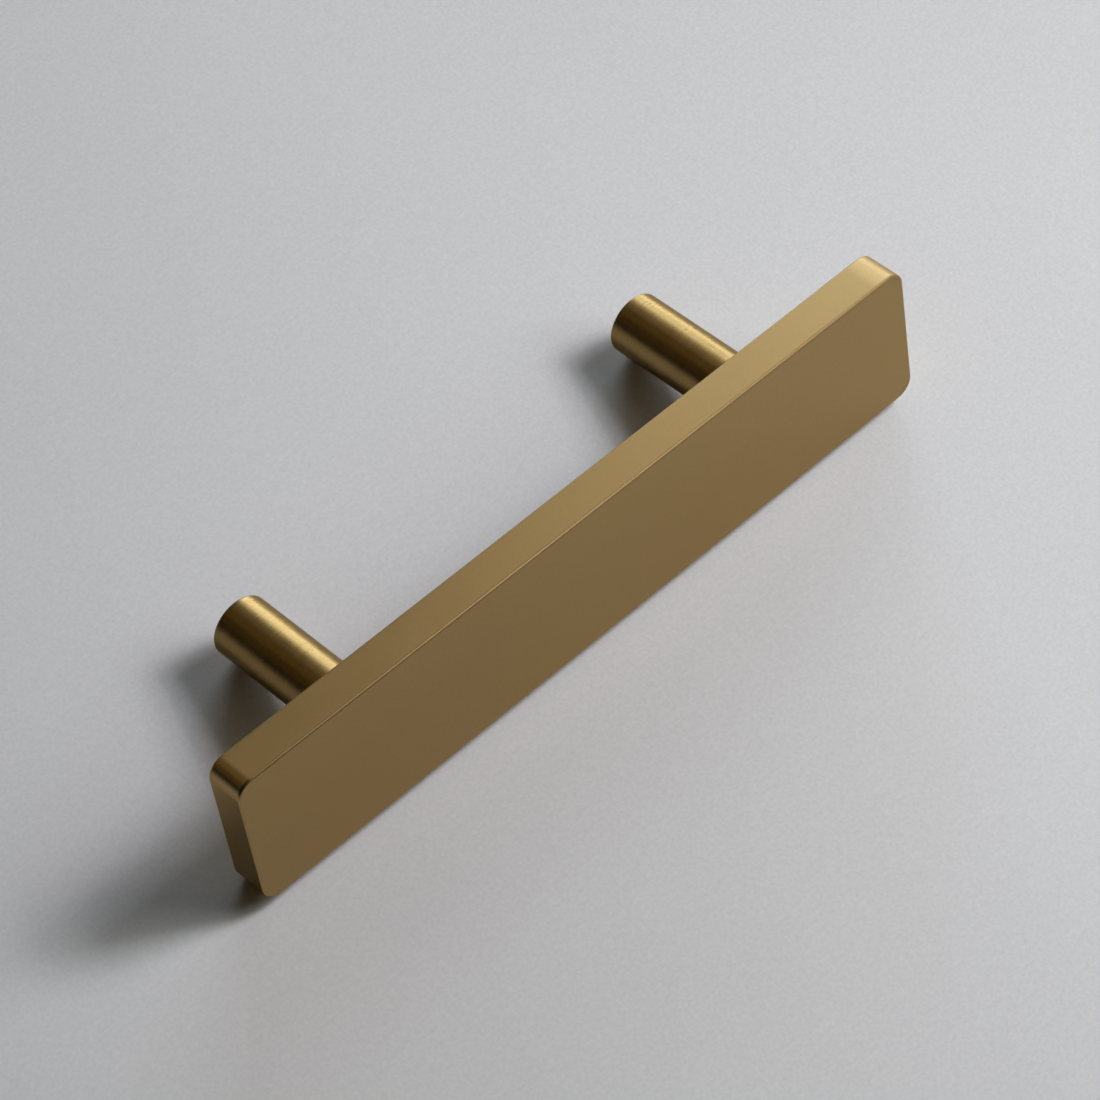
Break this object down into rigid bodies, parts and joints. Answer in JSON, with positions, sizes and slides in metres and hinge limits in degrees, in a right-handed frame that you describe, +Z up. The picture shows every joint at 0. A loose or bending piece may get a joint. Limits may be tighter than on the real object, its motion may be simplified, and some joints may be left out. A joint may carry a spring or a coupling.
{
  "type": "cabinet pull",
  "caption": "Flat rectangular bar pull in satin brass, with softly rounded corners, held off a door or drawer front by round posts tapped for machine screws.",
  "frame": {"origin": "on the face of the door or drawer front, midway between the fixing holes", "axes": "+X along the bar, +Y into the door along the screw holes, +Z up the door"},
  "size_m": [0.158, 0.0395, 0.031],
  "materials": {
    "satin_brass": "fine satin, without lacquer shine, edges softly rounded",
    "turned_brass": "satin, with fine turning lines round the post",
    "stud_steel": "plain zinc-coated steel, hidden"
  },
  "bodies": {
    "root": {"bar": "satin_brass", "post_left": "turned_brass", "post_right": "turned_brass", "joining_stud_left": "stud_steel", "joining_stud_right": "stud_steel"}
  },
  "joints": []
}
